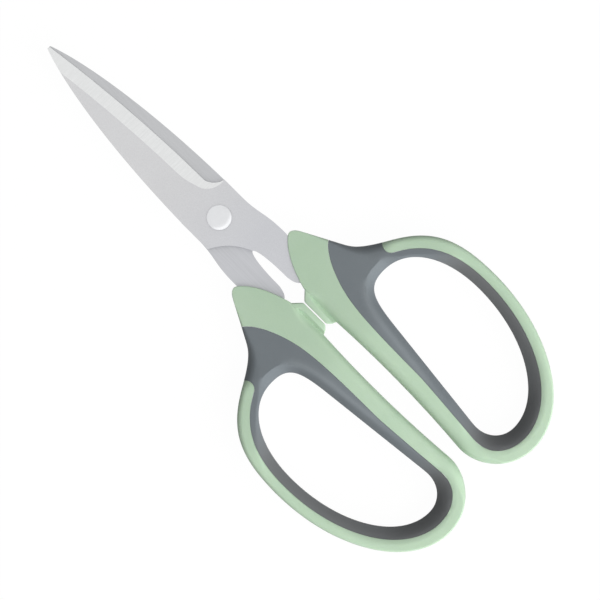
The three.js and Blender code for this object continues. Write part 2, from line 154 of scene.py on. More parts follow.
# %% Even outlines
def run_along(path):
    """How far along the path each of its points is."""
    return np.concatenate([[0], np.cumsum(np.linalg.norm(np.diff(path, axis=0), axis=1))])


def points_at(path, places):
    run = run_along(path)
    return np.column_stack([np.interp(places, run, path[:, axis]) for axis in (0, 1)])


def even(path, spacing):
    loop = np.vstack([path, path[:1]])
    length = run_along(loop)[-1]
    points = points_at(loop, np.linspace(0, length, round(length / spacing), endpoint=False))
    area = np.sum(points[:, 0] * np.roll(points[:, 1], -1) - points[:, 1] * np.roll(points[:, 0], -1))
    return points if area > 0 else points[::-1]


def softened(points, passes):
    for _ in range(passes):
        points = (np.roll(points, 1, axis=0) + 2 * points + np.roll(points, -1, axis=0)) / 4
    return points


def inwards(points):
    way = np.roll(points, -1, axis=0) - np.roll(points, 1, axis=0)
    left = np.column_stack([-way[:, 1], way[:, 0]])
    return left / np.linalg.norm(left, axis=1, keepdims=True)


square = np.array([[0, 0], [10, 0], [10, 10], [0, 10]])
print("Points round a 10 mm square at steps of 1 mm:", len(even(square, 1)))

# %% [markdown]
# ## Outlines of the handle
#
# Three lines draw a handle: its outside, its finger hole, and the line on which the hard green shell meets
# the soft grey grip. On the real scissors the shell is moulded first and the grip is moulded into it, so all
# three share the same few places: the waist, the shoulder, the lip where the blade comes out, and the corners
# of the hole.

# %% Places on the handle
LOOP_FRONT, LOOP_FRONT_OUT = 46.4, 24  # front of the finger hole
LOOP_NEAR_RUN, LOOP_NEAR_OUT = 13.6, 14.45  # its straight near side: front end
LOOP_HEEL_RUN, LOOP_HEEL_OUT = 9.5, 10.15  # and rear end
LOOP_WALL_CROWN, LOOP_WALL_END = 6.35, 8.5
FRONT_TO_WAIST, SHOULDER_TO_WAIST = at(-4.9, 7.9), at(8.5, 10.7)
SHANK_OUT = 10.9
LIP_BACK, LIP_WALL = 17.6, 0.9
LIP_RUN, LIP_RISE = 1.35, 1.95  # the slanted corner of the lip

hole_end = handle_end - LOOP_WALL_END
hole_crown = handle_crown - LOOP_WALL_CROWN
hole_near = at(LOOP_FRONT + LOOP_NEAR_RUN, LOOP_NEAR_OUT)
hole_heel = at(hole_end - LOOP_HEEL_RUN, LOOP_HEEL_OUT)
waist = at(LOOP_FRONT, LOOP_FRONT_OUT) + FRONT_TO_WAIST
shoulder = waist - SHOULDER_TO_WAIST
lip_front = at(LIP_BACK, SHANK_OUT + LIP_WALL)
lip = lip_front + at(LIP_RUN, LIP_RISE)
for place_name, place in (("Waist", waist), ("Shoulder", shoulder), ("Lip", lip)):
    print(f"{place_name}: {back_of(place):.1f} back and {out_of(place):.1f} out")

# %% The handle's outside
HANDLE_CROWN_BACK, HANDLE_END_OUT = 71, 18
HANDLE_HEEL_RUN, HANDLE_HEEL_OUT = 15.5, 1.95
STOP_FRONT, STOP_LENGTH, STOP_CORNER = 35, 11.8, 1.2
STOP_FACE, STOP_DEPTH = 0.22, 2.48  # from the middle line to the stop, and from there to the handle's side
SLOT_BOW = 0.95
FRONT_BEND = at(22.1, 6.1)  # between the stop and the lip
WAIST_BLEND = 3.9
LONG_CURVE = 0.75  # fullness of the outside's long curves
OUTLINE_SPACING = 0.7
CORNER_PASSES = 4

side_out = STOP_FACE + STOP_DEPTH
stop_end = STOP_FRONT + STOP_LENGTH


def unit(vector):
    return vector / np.linalg.norm(vector)


def handle_outline():
    shoulder_bend = shoulder + unit(shoulder - lip) * WAIST_BLEND
    rise = (handle_crown - out_of(waist)) / (out_of(waist) - out_of(shoulder_bend))
    path = [lip, shoulder]
    corner(path, shoulder_bend, waist, LONG_CURVE)
    corner(path, waist + (waist - shoulder_bend) * rise, at(HANDLE_CROWN_BACK, handle_crown), LONG_CURVE)
    corner(path, at(handle_end, handle_crown), at(handle_end, HANDLE_END_OUT))
    corner(path, at(handle_end, HANDLE_HEEL_OUT), at(handle_end - HANDLE_HEEL_RUN, HANDLE_HEEL_OUT))
    bow(path, at(stop_end, side_out), at(0, SLOT_BOW))
    path.append(at(STOP_FRONT - STOP_CORNER, side_out))
    corner(path, FRONT_BEND, lip_front, LONG_CURVE)
    return softened(even(path, OUTLINE_SPACING), CORNER_PASSES)


outside = handle_outline()
print("Points round the handle:", len(outside))

# %% The finger hole
HOLE_CROWN_FULLNESS, HOLE_FRONT_FULLNESS = 0.6, 0.82


def finger_hole():
    front = at(LOOP_FRONT, LOOP_FRONT_OUT)
    slope = (hole_heel - hole_near) / (back_of(hole_heel) - back_of(hole_near))
    path = [front]
    corner(path, at(LOOP_FRONT, hole_crown), at(HANDLE_CROWN_BACK, hole_crown), HOLE_CROWN_FULLNESS)
    corner(path, at(hole_end, hole_crown), at(hole_end, HANDLE_END_OUT))
    corner(path, hole_heel + slope * LOOP_HEEL_RUN, hole_heel)
    path.append(hole_near)
    corner(path, hole_near - slope * LOOP_NEAR_RUN, front, HOLE_FRONT_FULLNESS)
    return softened(even(path, OUTLINE_SPACING), CORNER_PASSES)


hole = finger_hole()
print("Points round the finger hole:", len(hole))

# %% The line between shell and grip
LINER_CROWN, LINER_END, LINER_HEEL = 3.05, 4.35, 3.15  # width of the grip round the hole
LOBE_LENGTH = 18.25
LOBE_NOSE = at(1.3, -2.9)  # from the lobe's front end to its front corner
LOBE_NECK = at(46.15, 9.05)  # where the lobe has narrowed into the band beside the hole
NOSE_SHARE = 0.4  # the nose's rounding ends at this share of the way to the neck
BAND_MIDDLE = at(76.6, 8.9)
BAND_RUN = 3  # how far the band goes straight on from there before it turns towards the heel
RING_TIP_AHEAD, RING_TIP_ASIDE = 1.7, 5.8  # the front end of the ring's seam, from the hole's front
RING_BEND_RUN, RING_TIP_ROUND = 5.7, 3.5
RING_END_TO_WAIST = at(1.3, 2.6)
NECK_FULLNESS, HEEL_FULLNESS, RING_FULLNESS = 0.86, 0.58, 0.7
GRIP_OVERRUN, GRIP_LEAD = 3, 1  # how far the cutter passes the handle's outside, and the lobe's front


def out_on_line(first, second, back):
    ends = sorted([(back_of(first), out_of(first)), (back_of(second), out_of(second))])
    return np.interp(back, *zip(*ends))


def grip_outline():
    crown = hole_crown + LINER_CROWN
    end = hole_end + LINER_END
    heel = hole_heel + at(LINER_HEEL, -LINER_HEEL)
    lobe_front = LOOP_FRONT - LOBE_LENGTH
    front = at(lobe_front, out_on_line(lip, shoulder, lobe_front))
    nose = front + LOBE_NOSE
    ring_tip = at(LOOP_FRONT - RING_TIP_AHEAD, LOOP_FRONT_OUT + RING_TIP_ASIDE)
    ring_bend = at(LOOP_FRONT + RING_BEND_RUN, crown)
    ring_end = waist - RING_END_TO_WAIST
    path = [front]
    corner(path, nose, nose + (LOBE_NECK - nose) * NOSE_SHARE)
    corner(path, LOBE_NECK, BAND_MIDDLE, NECK_FULLNESS)
    band_bend = BAND_MIDDLE + unit(BAND_MIDDLE - LOBE_NECK) * BAND_RUN
    corner(path, band_bend, heel)
    slope = out_of(heel - band_bend) / back_of(heel - band_bend)
    heel_bend = at(end, out_of(heel) + slope * (end - back_of(heel)))
    corner(path, heel_bend, at(end, HANDLE_END_OUT), HEEL_FULLNESS)
    corner(path, at(end, crown), at(HANDLE_CROWN_BACK, crown))
    corner(path, ring_bend, ring_tip, RING_FULLNESS)
    corner(path, ring_tip + unit(ring_tip - ring_bend) * RING_TIP_ROUND, ring_end)
    path.append(ring_end + at(-GRIP_OVERRUN, GRIP_OVERRUN))
    path.append(front + at(-GRIP_LEAD, GRIP_OVERRUN))
    return even(path, OUTLINE_SPACING)


grip_line = grip_outline()
print("Points round the grip:", len(grip_line))

# %% [markdown]
# ## The moulded body of a handle
#
# A moulded handle has no flat top with a fillet. From the side it is a wedge, thin where the blade comes out
# and full from the finger hole on. Across the loop it is highest near the outside: there it turns over in a
# tight superellipse, and towards the finger hole it falls away slowly, like the inside of a saucer, so that
# the hole is soft on the fingers. In front of the hole the slope is short and straight, as a thumb rest. All
# that only needs the distances to the two edges. So the body is a surface over the plan whose height is
# worked out from them. Rings of points follow both edges, closer together where the surface turns down, and
# Delaunay triangles fill the rest. The lower half is the same surface mirrored, and a narrow band joins them
# at the parting line of the mould.

# %% Thickness along the handle
LIP_HEIGHT = 2.8  # half of the thickness at the lip
TAPER_BACK, TAPER_SOFT = 56, 0.25  # from here on the handle is full, after a soft bend


def half_thickness(points):
    drop = (handle_top - LIP_HEIGHT) * (TAPER_BACK - back_of(points)) / (TAPER_BACK - LIP_BACK)
    return handle_top - (drop + np.hypot(drop, TAPER_SOFT)) / 2


print(f"Half thickness: {half_thickness(lip):.1f} mm at the lip, {half_thickness(waist):.1f} at the waist")

# %% How far the outside edges fall
EDGE_FULLNESS = 2.2
LIP_FALL, LIP_WIDTH = 0.16, 0.25  # outside edges at the lip
SIDE_FALL, SIDE_WIDTH = 3.6, 3.2  # at the slot
WAIST_FALL, WAIST_WIDTH = 3.7, 3.7  # at the waist
FRONT_FALL, FRONT_WIDTH = 1.4, 1.7  # at the front of the loop
RING_FALL, RING_WIDTH = 1.4, 1.1  # round the loop
RIM_FALL, RIM_WIDTH = 0.55, 0.45  # and at its rear end
# From where to where in the plan one of them runs into the next
LIP_END_BACK = 31  # up to the waist
WAIST_OUT, FRONT_OUT = (15, 25), (27, 32)
SLOT_END_BACK, SLOT_END_OUT = (42, 49), (5, 9)
RING_BACK, RIM_BACK = (48, 62), (98, 112)


def ease(value, start, end):
    share = np.clip((value - start) / (end - start), 0, 1)
    return share * share * (3 - 2 * share)


def mix(first, second, share):
    return first + (second - first) * share


def fall(distance, width, fullness):
    rest = np.clip(1 - distance / width, 0, 1)
    return 1 - (1 - rest**fullness) ** (1 / fullness)


def loop_share(points):
    """0 round the lip and 1 from the waist on."""
    return np.maximum(ease(back_of(points), LIP_END_BACK, back_of(waist)), ease(out_of(points), *WAIST_OUT))


def side_fall(points, to_outside):
    back, out = back_of(points), out_of(points)
    loop = loop_share(points)
    waist_side = ease(out, *WAIST_OUT)
    ring = np.maximum(ease(out, *FRONT_OUT), ease(back, *SLOT_END_BACK) * ease(out, *SLOT_END_OUT))
    past_front = ease(back, *RING_BACK)
    end = ease(back, *RIM_BACK)

    def all_round(at_lip, at_side, at_waist, at_front, on_ring, at_rim):
        ahead = mix(at_lip, mix(at_side, at_waist, waist_side), loop)
        return mix(ahead, mix(mix(at_front, on_ring, past_front), at_rim, end), ring)

    depth = all_round(LIP_FALL, SIDE_FALL, WAIST_FALL, FRONT_FALL, RING_FALL, RIM_FALL)
    width = all_round(LIP_WIDTH, SIDE_WIDTH, WAIST_WIDTH, FRONT_WIDTH, RING_WIDTH, RIM_WIDTH)
    return depth * fall(to_outside, width, EDGE_FULLNESS)


print(f"The outside edges fall by up to {side_fall(outside, 0).max():.1f} mm")

# %% How far the surface falls to the finger hole
CROWN_FALL, CROWN_WIDTH, SAUCER_POWER = 3.4, 5.0, 2.0  # saucer at the finger hole's widest place
END_FALL, END_WIDTH = 5.2, 5.6  # and at its rear end
REST_FALL, REST_WIDTH, REST_POWER = 3.4, 3.0, 1.25  # thumb rest at its front
NEAR_FALL, NEAR_WIDTH = 1.9, 2.2  # and the same at its near side
TURN_FALL, TURN_WIDTH = 0.5, 0.7  # where the front turns into the crown
# From where to where in the plan one of them runs into the next
NEAR_OUT, TURN_OUT = (14, 20), (25, 31)
SAUCER_OUT, SAUCER_BACK = (28, 37), (50, 64)
END_BACK = (88, 106)


def near_share(points):
    """1 beside the slot and 0 from the hole's front on."""
    return 1 - ease(out_of(points), *NEAR_OUT)


def end_share(points):
    """1 at the hole's rear end."""
    return ease(back_of(points), *END_BACK)


def saucer_share(points):
    """1 round the loop, from the hole's crown to its rear end, and 0 in front of it."""
    crown = ease(out_of(points), *SAUCER_OUT) * ease(back_of(points), *SAUCER_BACK)
    return 1 - (1 - crown) * (1 - end_share(points))


def hole_fall(points, to_hole):
    near = near_share(points)
    turn = ease(out_of(points), *TURN_OUT)
    end = end_share(points)
    saucer = saucer_share(points)
    front_depth = mix(mix(REST_FALL, NEAR_FALL, near), TURN_FALL, turn)
    front_width = mix(mix(REST_WIDTH, NEAR_WIDTH, near), TURN_WIDTH, turn)
    depth = mix(front_depth, mix(CROWN_FALL, END_FALL, end), saucer)
    width = mix(front_width, mix(CROWN_WIDTH, END_WIDTH, end), saucer)
    return depth * np.clip(1 - to_hole / width, 0, 1) ** mix(REST_POWER, SAUCER_POWER, saucer)


print(f"The surface falls by up to {hole_fall(hole, 0).max():.1f} mm at the finger hole")

# %% Height of the moulded surface
def moulded_height(points, to_outside, to_hole):
    return half_thickness(points) - side_fall(points, to_outside) - hole_fall(points, to_hole)


def distance_to(points, outline):
    along = np.roll(outline, -1, axis=0) - outline
    nearest = []
    for point in points:
        offset = point - outline
        share = np.clip(np.sum(offset * along, axis=1) / np.sum(along * along, axis=1), 0, 1)
        nearest.append(np.linalg.norm(offset - along * share[:, None], axis=1).min())
    return np.array(nearest)


wall = distance_to(hole, outside)
print(f"Wall of the loop: {wall.min():.1f} mm at its thinnest")

# %% Rings along both edges
RINGS = 12
SIDE_REACH, LIP_REACH, HOLE_REACH = 2.8, 0.9, 3.7  # how far the innermost ring is from its edge
FILL_BAND = 0.5  # the least that is left between the rings of both edges
RING_CROWDING = 2.4  # above 1, the rings crowd towards the edge


def rings_along(outline, directions, reach):
    shares = np.linspace(0, 1, RINGS + 1) ** RING_CROWDING
    return [(outline + directions * (reach * share)[:, None], reach * share) for share in shares]


outside_reach = mix(LIP_REACH, SIDE_REACH, loop_share(outside))
outside_rings = rings_along(outside, inwards(outside), outside_reach)
hole_reach = np.minimum(HOLE_REACH, wall - SIDE_REACH - FILL_BAND)
hole_rings = rings_along(hole, -inwards(hole), hole_reach)
print(f"Rings reach {outside_reach.max():.1f} mm in from the outside, {hole_reach.max():.1f} from the hole")

# %% Points and triangles between the rings
FILL_SPACING = 1.1
FILL_MARGIN = 0.6
INSIDE_ONLY, SAME_PLACE = 1, 1e-6  # keep what is inside the edges, and take points this close as one


def is_inside(points, outline):
    odd = np.zeros(len(points), bool)
    for first, second in zip(outline, np.roll(outline, -1, axis=0)):
        crosses = (first[1] > points[:, 1]) != (second[1] > points[:, 1])
        with np.errstate(divide="ignore", invalid="ignore"):
            place = first[0] + (points[:, 1] - first[1]) * (second[0] - first[0]) / (second[1] - first[1])
        odd ^= crosses & (points[:, 0] < place)
    return odd


def fill_points(outer, inner):
    low, high = outer.min(axis=0), outer.max(axis=0)
    rows = np.arange(low[1], high[1], FILL_SPACING * math.sqrt(3) / 2)
    places = [(x + FILL_SPACING / 2 * (i % 2), y) for i, y in enumerate(rows)
              for x in np.arange(low[0], high[0], FILL_SPACING)]
    points = np.array(places)
    points = points[is_inside(points, outer) & ~is_inside(points, inner)]
    clear = np.minimum(distance_to(points, outer), distance_to(points, inner)) > FILL_MARGIN
    return points[clear]


def fill_triangles(outer, inner, points):
    plan = [Vector(place) for place in np.vstack([outer, inner, points])]
    turns = [range(len(outer)), range(len(outer), len(outer) + len(inner))]
    edges = [(turn[i - 1], turn[i]) for turn in turns for i in range(len(turn))]
    made = delaunay_2d_cdt(plan, edges, [], INSIDE_ONLY, SAME_PLACE)
    corners, faces, sources = made[0], made[2], made[3]
    centres = np.array([sum((corners[i] for i in face), Vector((0, 0))) / 3 for face in faces])
    kept = ~is_inside(centres, inner)
    return [[sources[i][0] for i in face] for face, keep in zip(faces, kept) if keep]


fill = fill_points(outside_rings[-1][0], hole_rings[-1][0])
triangles = fill_triangles(outside_rings[-1][0], hole_rings[-1][0], fill)
print("Filling points and triangles:", len(fill), len(triangles))

# %% The closed body
def add_object(name, data):
    made = bpy.data.objects.new(name, data)
    bpy.context.scene.collection.objects.link(made)
    return made


def face_outwards(mesh):
    work = bmesh.new()
    work.from_mesh(mesh)
    bmesh.ops.recalc_face_normals(work, faces=work.faces)
    work.to_mesh(mesh)
    work.free()


def solid(name, vertices, faces):
    mesh = bpy.data.meshes.new(name)
    mesh.from_pydata([tuple(map(float, vertex)) for vertex in vertices], [], faces)
    face_outwards(mesh)
    return add_object(name, mesh)


def band_faces(first, second, count):
    nexts = [(i + 1) % count for i in range(count)]
    return [(first + i, first + after, second + after, second + i) for i, after in enumerate(nexts)]


def handle_body():
    plan, heights, faces, inner_turns, edge_turns = [], [], [], [], []
    for rings, other_edge in ((outside_rings, hole), (hole_rings, outside)):
        start, count = sum(map(len, plan)), len(rings[0][0])
        for points, own in rings:
            distances = (own, distance_to(points, other_edge))
            to_outside, to_hole = distances if rings is outside_rings else distances[::-1]
            plan.append(points)
            heights.append(moulded_height(points, to_outside, to_hole))
        for ring in range(RINGS):
            faces += band_faces(start + ring * count, start + (ring + 1) * count, count)
        edge_turns.append((start, count))
        inner_turns += range(start + RINGS * count, start + (RINGS + 1) * count)
    ringed = sum(map(len, plan))
    filled = inner_turns + list(range(ringed, ringed + len(fill)))
    plan.append(fill)
    heights.append(moulded_height(fill, distance_to(fill, outside), distance_to(fill, hole)))
    faces += [tuple(filled[i] for i in triangle) for triangle in triangles]
    top = np.column_stack([np.vstack(plan), np.concatenate(heights)])
    bottom = top * (1, 1, -1)
    below = [tuple(i + len(top) for i in face) for face in faces]
    walls = [face for start, count in edge_turns for face in band_faces(start, start + len(top), count)]
    return solid("handle body", np.vstack([top, bottom]), faces + below + walls)


body = handle_body()
print("Faces of a handle's body:", len(body.data.polygons))

# %% [markdown]
# ## Shell and grip
#
# The shell and the grip come out of one body, so that they are flush all along the line where they meet.
# Two mouldings that are drawn apart would never quite match. A prism on the grip's outline cuts the body:
# what is inside is the grip and what is outside is the shell. A hair's breadth is left between them, as
# there is on the real moulding. The shell then gets its closing stop, a lower land on the side of the slot,
# with a groove along its foot on both faces.

# %% Cutters on the seam
SEAM_GAP = 0.06


def prism(name, outline, bottom, top):
    count = len(outline)
    vertices = np.vstack([np.column_stack([outline, np.full(count, z)]) for z in (bottom, top)])
    caps = [tuple(range(count)), tuple(range(count, 2 * count))]
    return solid(name, vertices, caps + band_faces(0, count, count))


def grown(outline, distance):
    return outline - inwards(outline) * distance


grip_cutter = prism("grip cutter", grown(grip_line, -SEAM_GAP / 2), -2 * handle_top, 2 * handle_top)
shell_cutter = prism("shell cutter", grown(grip_line, SEAM_GAP / 2), -2 * handle_top, 2 * handle_top)
print("Faces of each cutter:", len(grip_cutter.data.polygons))

# %% The two mouldings
def apply_modifiers(piece):
    bpy.context.view_layer.update()
    result = piece.evaluated_get(bpy.context.evaluated_depsgraph_get())
    mesh = bpy.data.meshes.new_from_object(result)
    piece.modifiers.clear()
    piece.data = mesh


def combine(piece, tool, operation):
    modifier = piece.modifiers.new("Combine", "BOOLEAN")
    modifier.operation = operation
    modifier.solver = "MANIFOLD"
    modifier.object = tool
    apply_modifiers(piece)
    bpy.data.objects.remove(tool)


def copy_of(piece, name):
    return add_object(name, piece.data.copy())


grip = copy_of(body, "handle grip")
combine(grip, grip_cutter, "INTERSECT")
shell = body
combine(shell, shell_cutter, "DIFFERENCE")
print("Faces of the grip and the shell:", len(grip.data.polygons), len(shell.data.polygons))

# %% The closing stop
STOP_THICKNESS = 7.6
STOP_EDGE, STOP_EDGE_STEPS = 0.45, 4
STOP_ROOT = 1.5
STOP_RUN_IN = 2.6  # the slope at its front


def closing_stop():
    root = side_out + STOP_ROOT
    path = [at(STOP_FRONT - STOP_RUN_IN, root)]
    path += [at(STOP_FRONT, STOP_FACE + STOP_CORNER), at(STOP_FRONT + STOP_CORNER, STOP_FACE)]
    path += [at(stop_end - STOP_CORNER, STOP_FACE), at(stop_end, STOP_FACE + STOP_CORNER)]
    path.append(at(stop_end + STOP_CORNER, root))
    land = prism("closing stop", np.array(path), -STOP_THICKNESS / 2, STOP_THICKNESS / 2)
    rounding = land.modifiers.new("Rounding", "BEVEL")
    rounding.width = STOP_EDGE
    rounding.segments = STOP_EDGE_STEPS
    apply_modifiers(land)
    return land


combine(shell, closing_stop(), "UNION")
print("Faces of the shell with its stop:", len(shell.data.polygons))

# %% The groove along the stop
GROOVE_WIDTH, GROOVE_POINT = 1.7, 0.3
GROOVE_START = 1  # from the stop's front to the groove's point
GROOVE_RUN_IN = 2  # and from there to its full width


def groove_cutter(height):
    """A square rod on its edge, where the stop meets the handle's side, with a pointed front."""
    corners = [(0.5, 0), (0, 0.5), (-0.5, 0), (0, -0.5)]
    start = STOP_FRONT + GROOVE_START
    places = (start, start + GROOVE_RUN_IN, stop_end + STOP_CORNER)
    widths = (GROOVE_POINT, GROOVE_WIDTH, GROOVE_WIDTH)
    vertices = [(-back, -side_out + across * width, height + up * width)
                for back, width in zip(places, widths) for across, up in corners]
    caps = [(0, 1, 2, 3), (8, 9, 10, 11)]
    return solid("groove", vertices, caps + band_faces(0, 4, 4) + band_faces(4, 8, 4))


for height in (-STOP_THICKNESS / 2, STOP_THICKNESS / 2):
    combine(shell, groove_cutter(height), "DIFFERENCE")
print("Faces of the shell with its grooves:", len(shell.data.polygons))

# %% [markdown]
# ## Blades
#
# A blade is stamped from sheet, and then one face is ground down to the cutting edge. The grinding starts
# at a rounded shoulder ahead of the pivot and widens to its full width. The mesh is made in the same order
# as the real blade, so each size can be changed by itself. The stamping is a prism on the blade's outline,
# the grinding is a wedge that follows the cutting edge, and a small bevel breaks the stamped edges so that
# they catch the light.

# %% The blade's outline
SPINE_OUT, SPINE_TAPER, SPINE_FULLNESS = 9.25, 24, 0.6
EDGE_OUT, EDGE_BOW = 4.85, 1
TIP_WIDTH = 1.1
HEEL_AHEAD, SHOULDER_AHEAD, SHOULDER_FULLNESS = 11.5, 7.1, 0.42
CROTCH_BACK, CROTCH_END, CROTCH_BOW = 4.3, 14.3, 1.3
SHANK_GAP, SHANK_GAP_BACK = 1.75, 26.5
SHANK_FLARE_BACK = 8
TANG_NECK_BACK, TANG_NECK_OUT = 31.5, 4
TANG_END, TANG_END_NEAR, TANG_END_FAR = 62, 5, 8
BLADE_SPACING = 0.4


def cutting_edge():
    path = [at(-SHOULDER_AHEAD, SPINE_OUT)]
    corner(path, at(-SHOULDER_AHEAD, EDGE_OUT), at(-HEEL_AHEAD, EDGE_OUT), SHOULDER_FULLNESS)
    bow(path, at(-blade_reach + TIP_WIDTH / 2, TIP_WIDTH / 4), at(0, EDGE_BOW))
    return path


def blade_outline():
    path = cutting_edge()
    corner(path, at(-blade_reach, TIP_WIDTH / 4), at(-blade_reach, -TIP_WIDTH / 2))
    corner(path, at(SPINE_TAPER - blade_reach, -SPINE_OUT), at(0, -SPINE_OUT), SPINE_FULLNESS)
    path.append(at(CROTCH_BACK, -SPINE_OUT))
    bow(path, at(CROTCH_END, 0), at(-CROTCH_BOW, CROTCH_BOW) * math.sqrt(0.5))
    corner(path, at(CROTCH_END, SHANK_GAP), at(SHANK_GAP_BACK, SHANK_GAP))
    corner(path, at(TANG_NECK_BACK, SHANK_GAP), at(TANG_NECK_BACK, TANG_NECK_OUT))
    path += [at(TANG_END, TANG_END_NEAR), at(TANG_END, TANG_END_FAR), at(LIP_BACK, SHANK_OUT)]
    curve(path, at(SHANK_FLARE_BACK, SHANK_OUT), at(SHANK_FLARE_BACK, SPINE_OUT), at(0, SPINE_OUT))
    return even(path, BLADE_SPACING)


blade_line = blade_outline()
print("Points round a blade:", len(blade_line))

# %% The ground bevel
BEVEL_WIDTH, BEVEL_RUN_IN = 4.15, 14
EDGE_THICKNESS = 0.35
OVERRUN = 1  # how far a cutter passes the blade
WEDGE_STEPS = 110


def grinding_wedge():
    path = np.array(cutting_edge())
    path = np.vstack([path, path[-1] + unit(path[-1] - path[-2]) * (TIP_WIDTH + OVERRUN)])
    places = np.linspace(0, run_along(path)[-1], WEDGE_STEPS)
    points = points_at(path, places)
    way = np.gradient(points, axis=0)
    outwards = np.column_stack([way[:, 1], -way[:, 0]]) / np.linalg.norm(way, axis=1, keepdims=True)
    slope = (blade_outside - blade_inside - EDGE_THICKNESS) / BEVEL_WIDTH
    width = BEVEL_WIDTH * np.sin(np.clip(places / BEVEL_RUN_IN, 0, 1) * math.pi / 2)
    high = np.full(WEDGE_STEPS, blade_outside + slope * OVERRUN)
    inner = np.column_stack([points - outwards * (width + OVERRUN)[:, None], high])
    outer = np.column_stack([points + outwards * OVERRUN, high])
    lower = np.column_stack([outer[:, :2], blade_outside - slope * (width + OVERRUN)])
    vertices = np.stack([inner, outer, lower], axis=1).reshape(-1, 3)
    faces = [(0, 1, 2), tuple(range(3 * WEDGE_STEPS - 3, 3 * WEDGE_STEPS))]
    for first in range(0, 3 * WEDGE_STEPS - 3, 3):
        faces += band_faces(first, first + 3, 3)
    return solid("grinding wedge", vertices, faces)


wedge = grinding_wedge()
print("Faces of the grinding wedge:", len(wedge.data.polygons))

# %% The finished blade
RIVET_RADIUS, RIVET_CLEARANCE = 2.5, 0.06
CIRCLE_STEPS = 96
STAMPED_EDGE, STAMPED_EDGE_STEPS = 0.05, 2
STAMPED_ANGLE = math.radians(35)
BEVEL_NORMALS = (0.85, 0.99)  # the upward part of a face's normal: on the ground bevel
INNER_NORMAL = -0.9  # and at most this on the inner face


def circle(radius):
    turn = np.linspace(0, 2 * math.pi, CIRCLE_STEPS, endpoint=False)
    return radius * np.column_stack([np.cos(turn), np.sin(turn)])


def set_values(mesh, name, domain, values):
    layer = mesh.attributes.new(name, "FLOAT", domain)
    layer.data.foreach_set("value", np.asarray(values, np.float32))


def finished_blade():
    blade = prism("blade", blade_line, blade_inside, blade_outside)
    combine(blade, wedge, "DIFFERENCE")
    rim = circle(RIVET_RADIUS + RIVET_CLEARANCE)
    combine(blade, prism("bore", rim, blade_inside - OVERRUN, blade_outside + OVERRUN), "DIFFERENCE")
    upright = np.array([face.normal.z for face in blade.data.polygons])
    least, most = BEVEL_NORMALS
    set_values(blade.data, "ground", "FACE", (upright > least) & (upright < most))
    set_values(blade.data, "inner", "FACE", upright < INNER_NORMAL)
    edge = blade.modifiers.new("Stamped edge", "BEVEL")
    edge.width = STAMPED_EDGE
    edge.segments = STAMPED_EDGE_STEPS
    edge.limit_method = "ANGLE"
    edge.angle_limit = STAMPED_ANGLE
    edge.use_clamp_overlap = False
    apply_modifiers(blade)
    return blade


blade = finished_blade()
print("Faces of a blade:", len(blade.data.polygons))

# %% [markdown]
# ## Pocket for the tang
#
# The handle is moulded round the tang, so it holds a pocket of the tang's shape. The blade's own outline
# draws the cutter, a little larger, so that the pocket always fits. Both mouldings are cut with it: the
# pocket lies in the shell, and the grip only has to stay clear of it.

# %% The pocket for the tang
POCKET_GAP = 0.08

pocket_line = grown(blade_line, POCKET_GAP)
pocket = prism("tang pocket", pocket_line, blade_inside - POCKET_GAP, blade_outside + POCKET_GAP)
grip_pocket = copy_of(pocket, "tang pocket in the grip")
combine(shell, pocket, "DIFFERENCE")
combine(grip, grip_pocket, "DIFFERENCE")
print("Faces with the pocket, grip and shell:", len(grip.data.polygons), len(shell.data.polygons))

# %% [markdown]
# The ridge beside the finger hole gets a painted highlight, a paler band where light catches the rounded
# ridge. Inside the loop, where the surface falls into the hole, painted shade makes the rubber a little
# darker and less blue. A mask could be painted for them, but the distances are already known. Each point of
# the grip remembers how near it is to the ridge and how far inside the loop, and the finish reads both.

# %% The painted highlight on the ridge and the painted shade in the loop
RIDGE_PLACE, RIDGE_WIDTH = 2.9, 0.9  # from the edge of the finger hole
RIDGE_END_BACK = (72, 92)

grip_plan = np.array([vertex.co[:2] for vertex in grip.data.vertices])
in_front = 1 - ease(back_of(grip_plan), *RIDGE_END_BACK)
off_ridge = (distance_to(grip_plan, hole) - RIDGE_PLACE) / RIDGE_WIDTH
# painted highlight: a band along the ridge, fading out towards the rear end
set_values(grip.data, "painted_ridge_highlight", "POINT", np.exp(-off_ridge**2) * near_share(grip_plan) * in_front)
# painted shade: inside the loop, from its crown to its rear end
set_values(grip.data, "painted_loop_shade", "POINT", saucer_share(grip_plan))
print("Points of the grip that remember the ridge and the lining:", len(grip_plan))

# %% [markdown]
# ## Node trees in a few words
#
# Geometry Nodes and materials are both node trees. One helper adds a node, sets its inputs and links those
# that come from another node, so that the trees below read as a list of what they do. Two more start and end
# a Geometry Nodes tree, because every such tree here has named inputs and ends in real, dressed geometry.

# %% Helpers for node trees
GRAIN_LOW, GRAIN_HIGH = 0.3, 0.7  # most of a noise lies between these


def add_node(tree, kind, inputs=None, **settings):
    node = tree.nodes.new(kind)
    for name, value in settings.items():
        setattr(node, name, value)
    for name, value in (inputs or {}).items():
        socket = next(socket for socket in node.inputs if name in (socket.identifier, socket.name))
        if isinstance(value, bpy.types.NodeSocket):
            tree.links.new(value, socket)
        else:
            socket.default_value = value
    return node


def between(tree, value, low, high, start=GRAIN_LOW, end=GRAIN_HIGH):
    return add_node(tree, "ShaderNodeMapRange", {
        "Value": value, "From Min": start, "From Max": end, "To Min": low, "To Max": high}).outputs[0]


def start_tree(name, sockets):
    """A tree with these inputs, their identifiers for a modifier, and their values inside the tree."""
    tree = bpy.data.node_groups.new(name, "GeometryNodeTree")
    tree.interface.new_socket("Geometry", in_out="OUTPUT", socket_type="NodeSocketGeometry")
    inputs = {}
    for label, kind in sockets.items():
        socket = tree.interface.new_socket(label, in_out="INPUT", socket_type=f"NodeSocket{kind}")
        inputs[label] = socket.identifier
    return tree, inputs, tree.nodes.new("NodeGroupInput").outputs


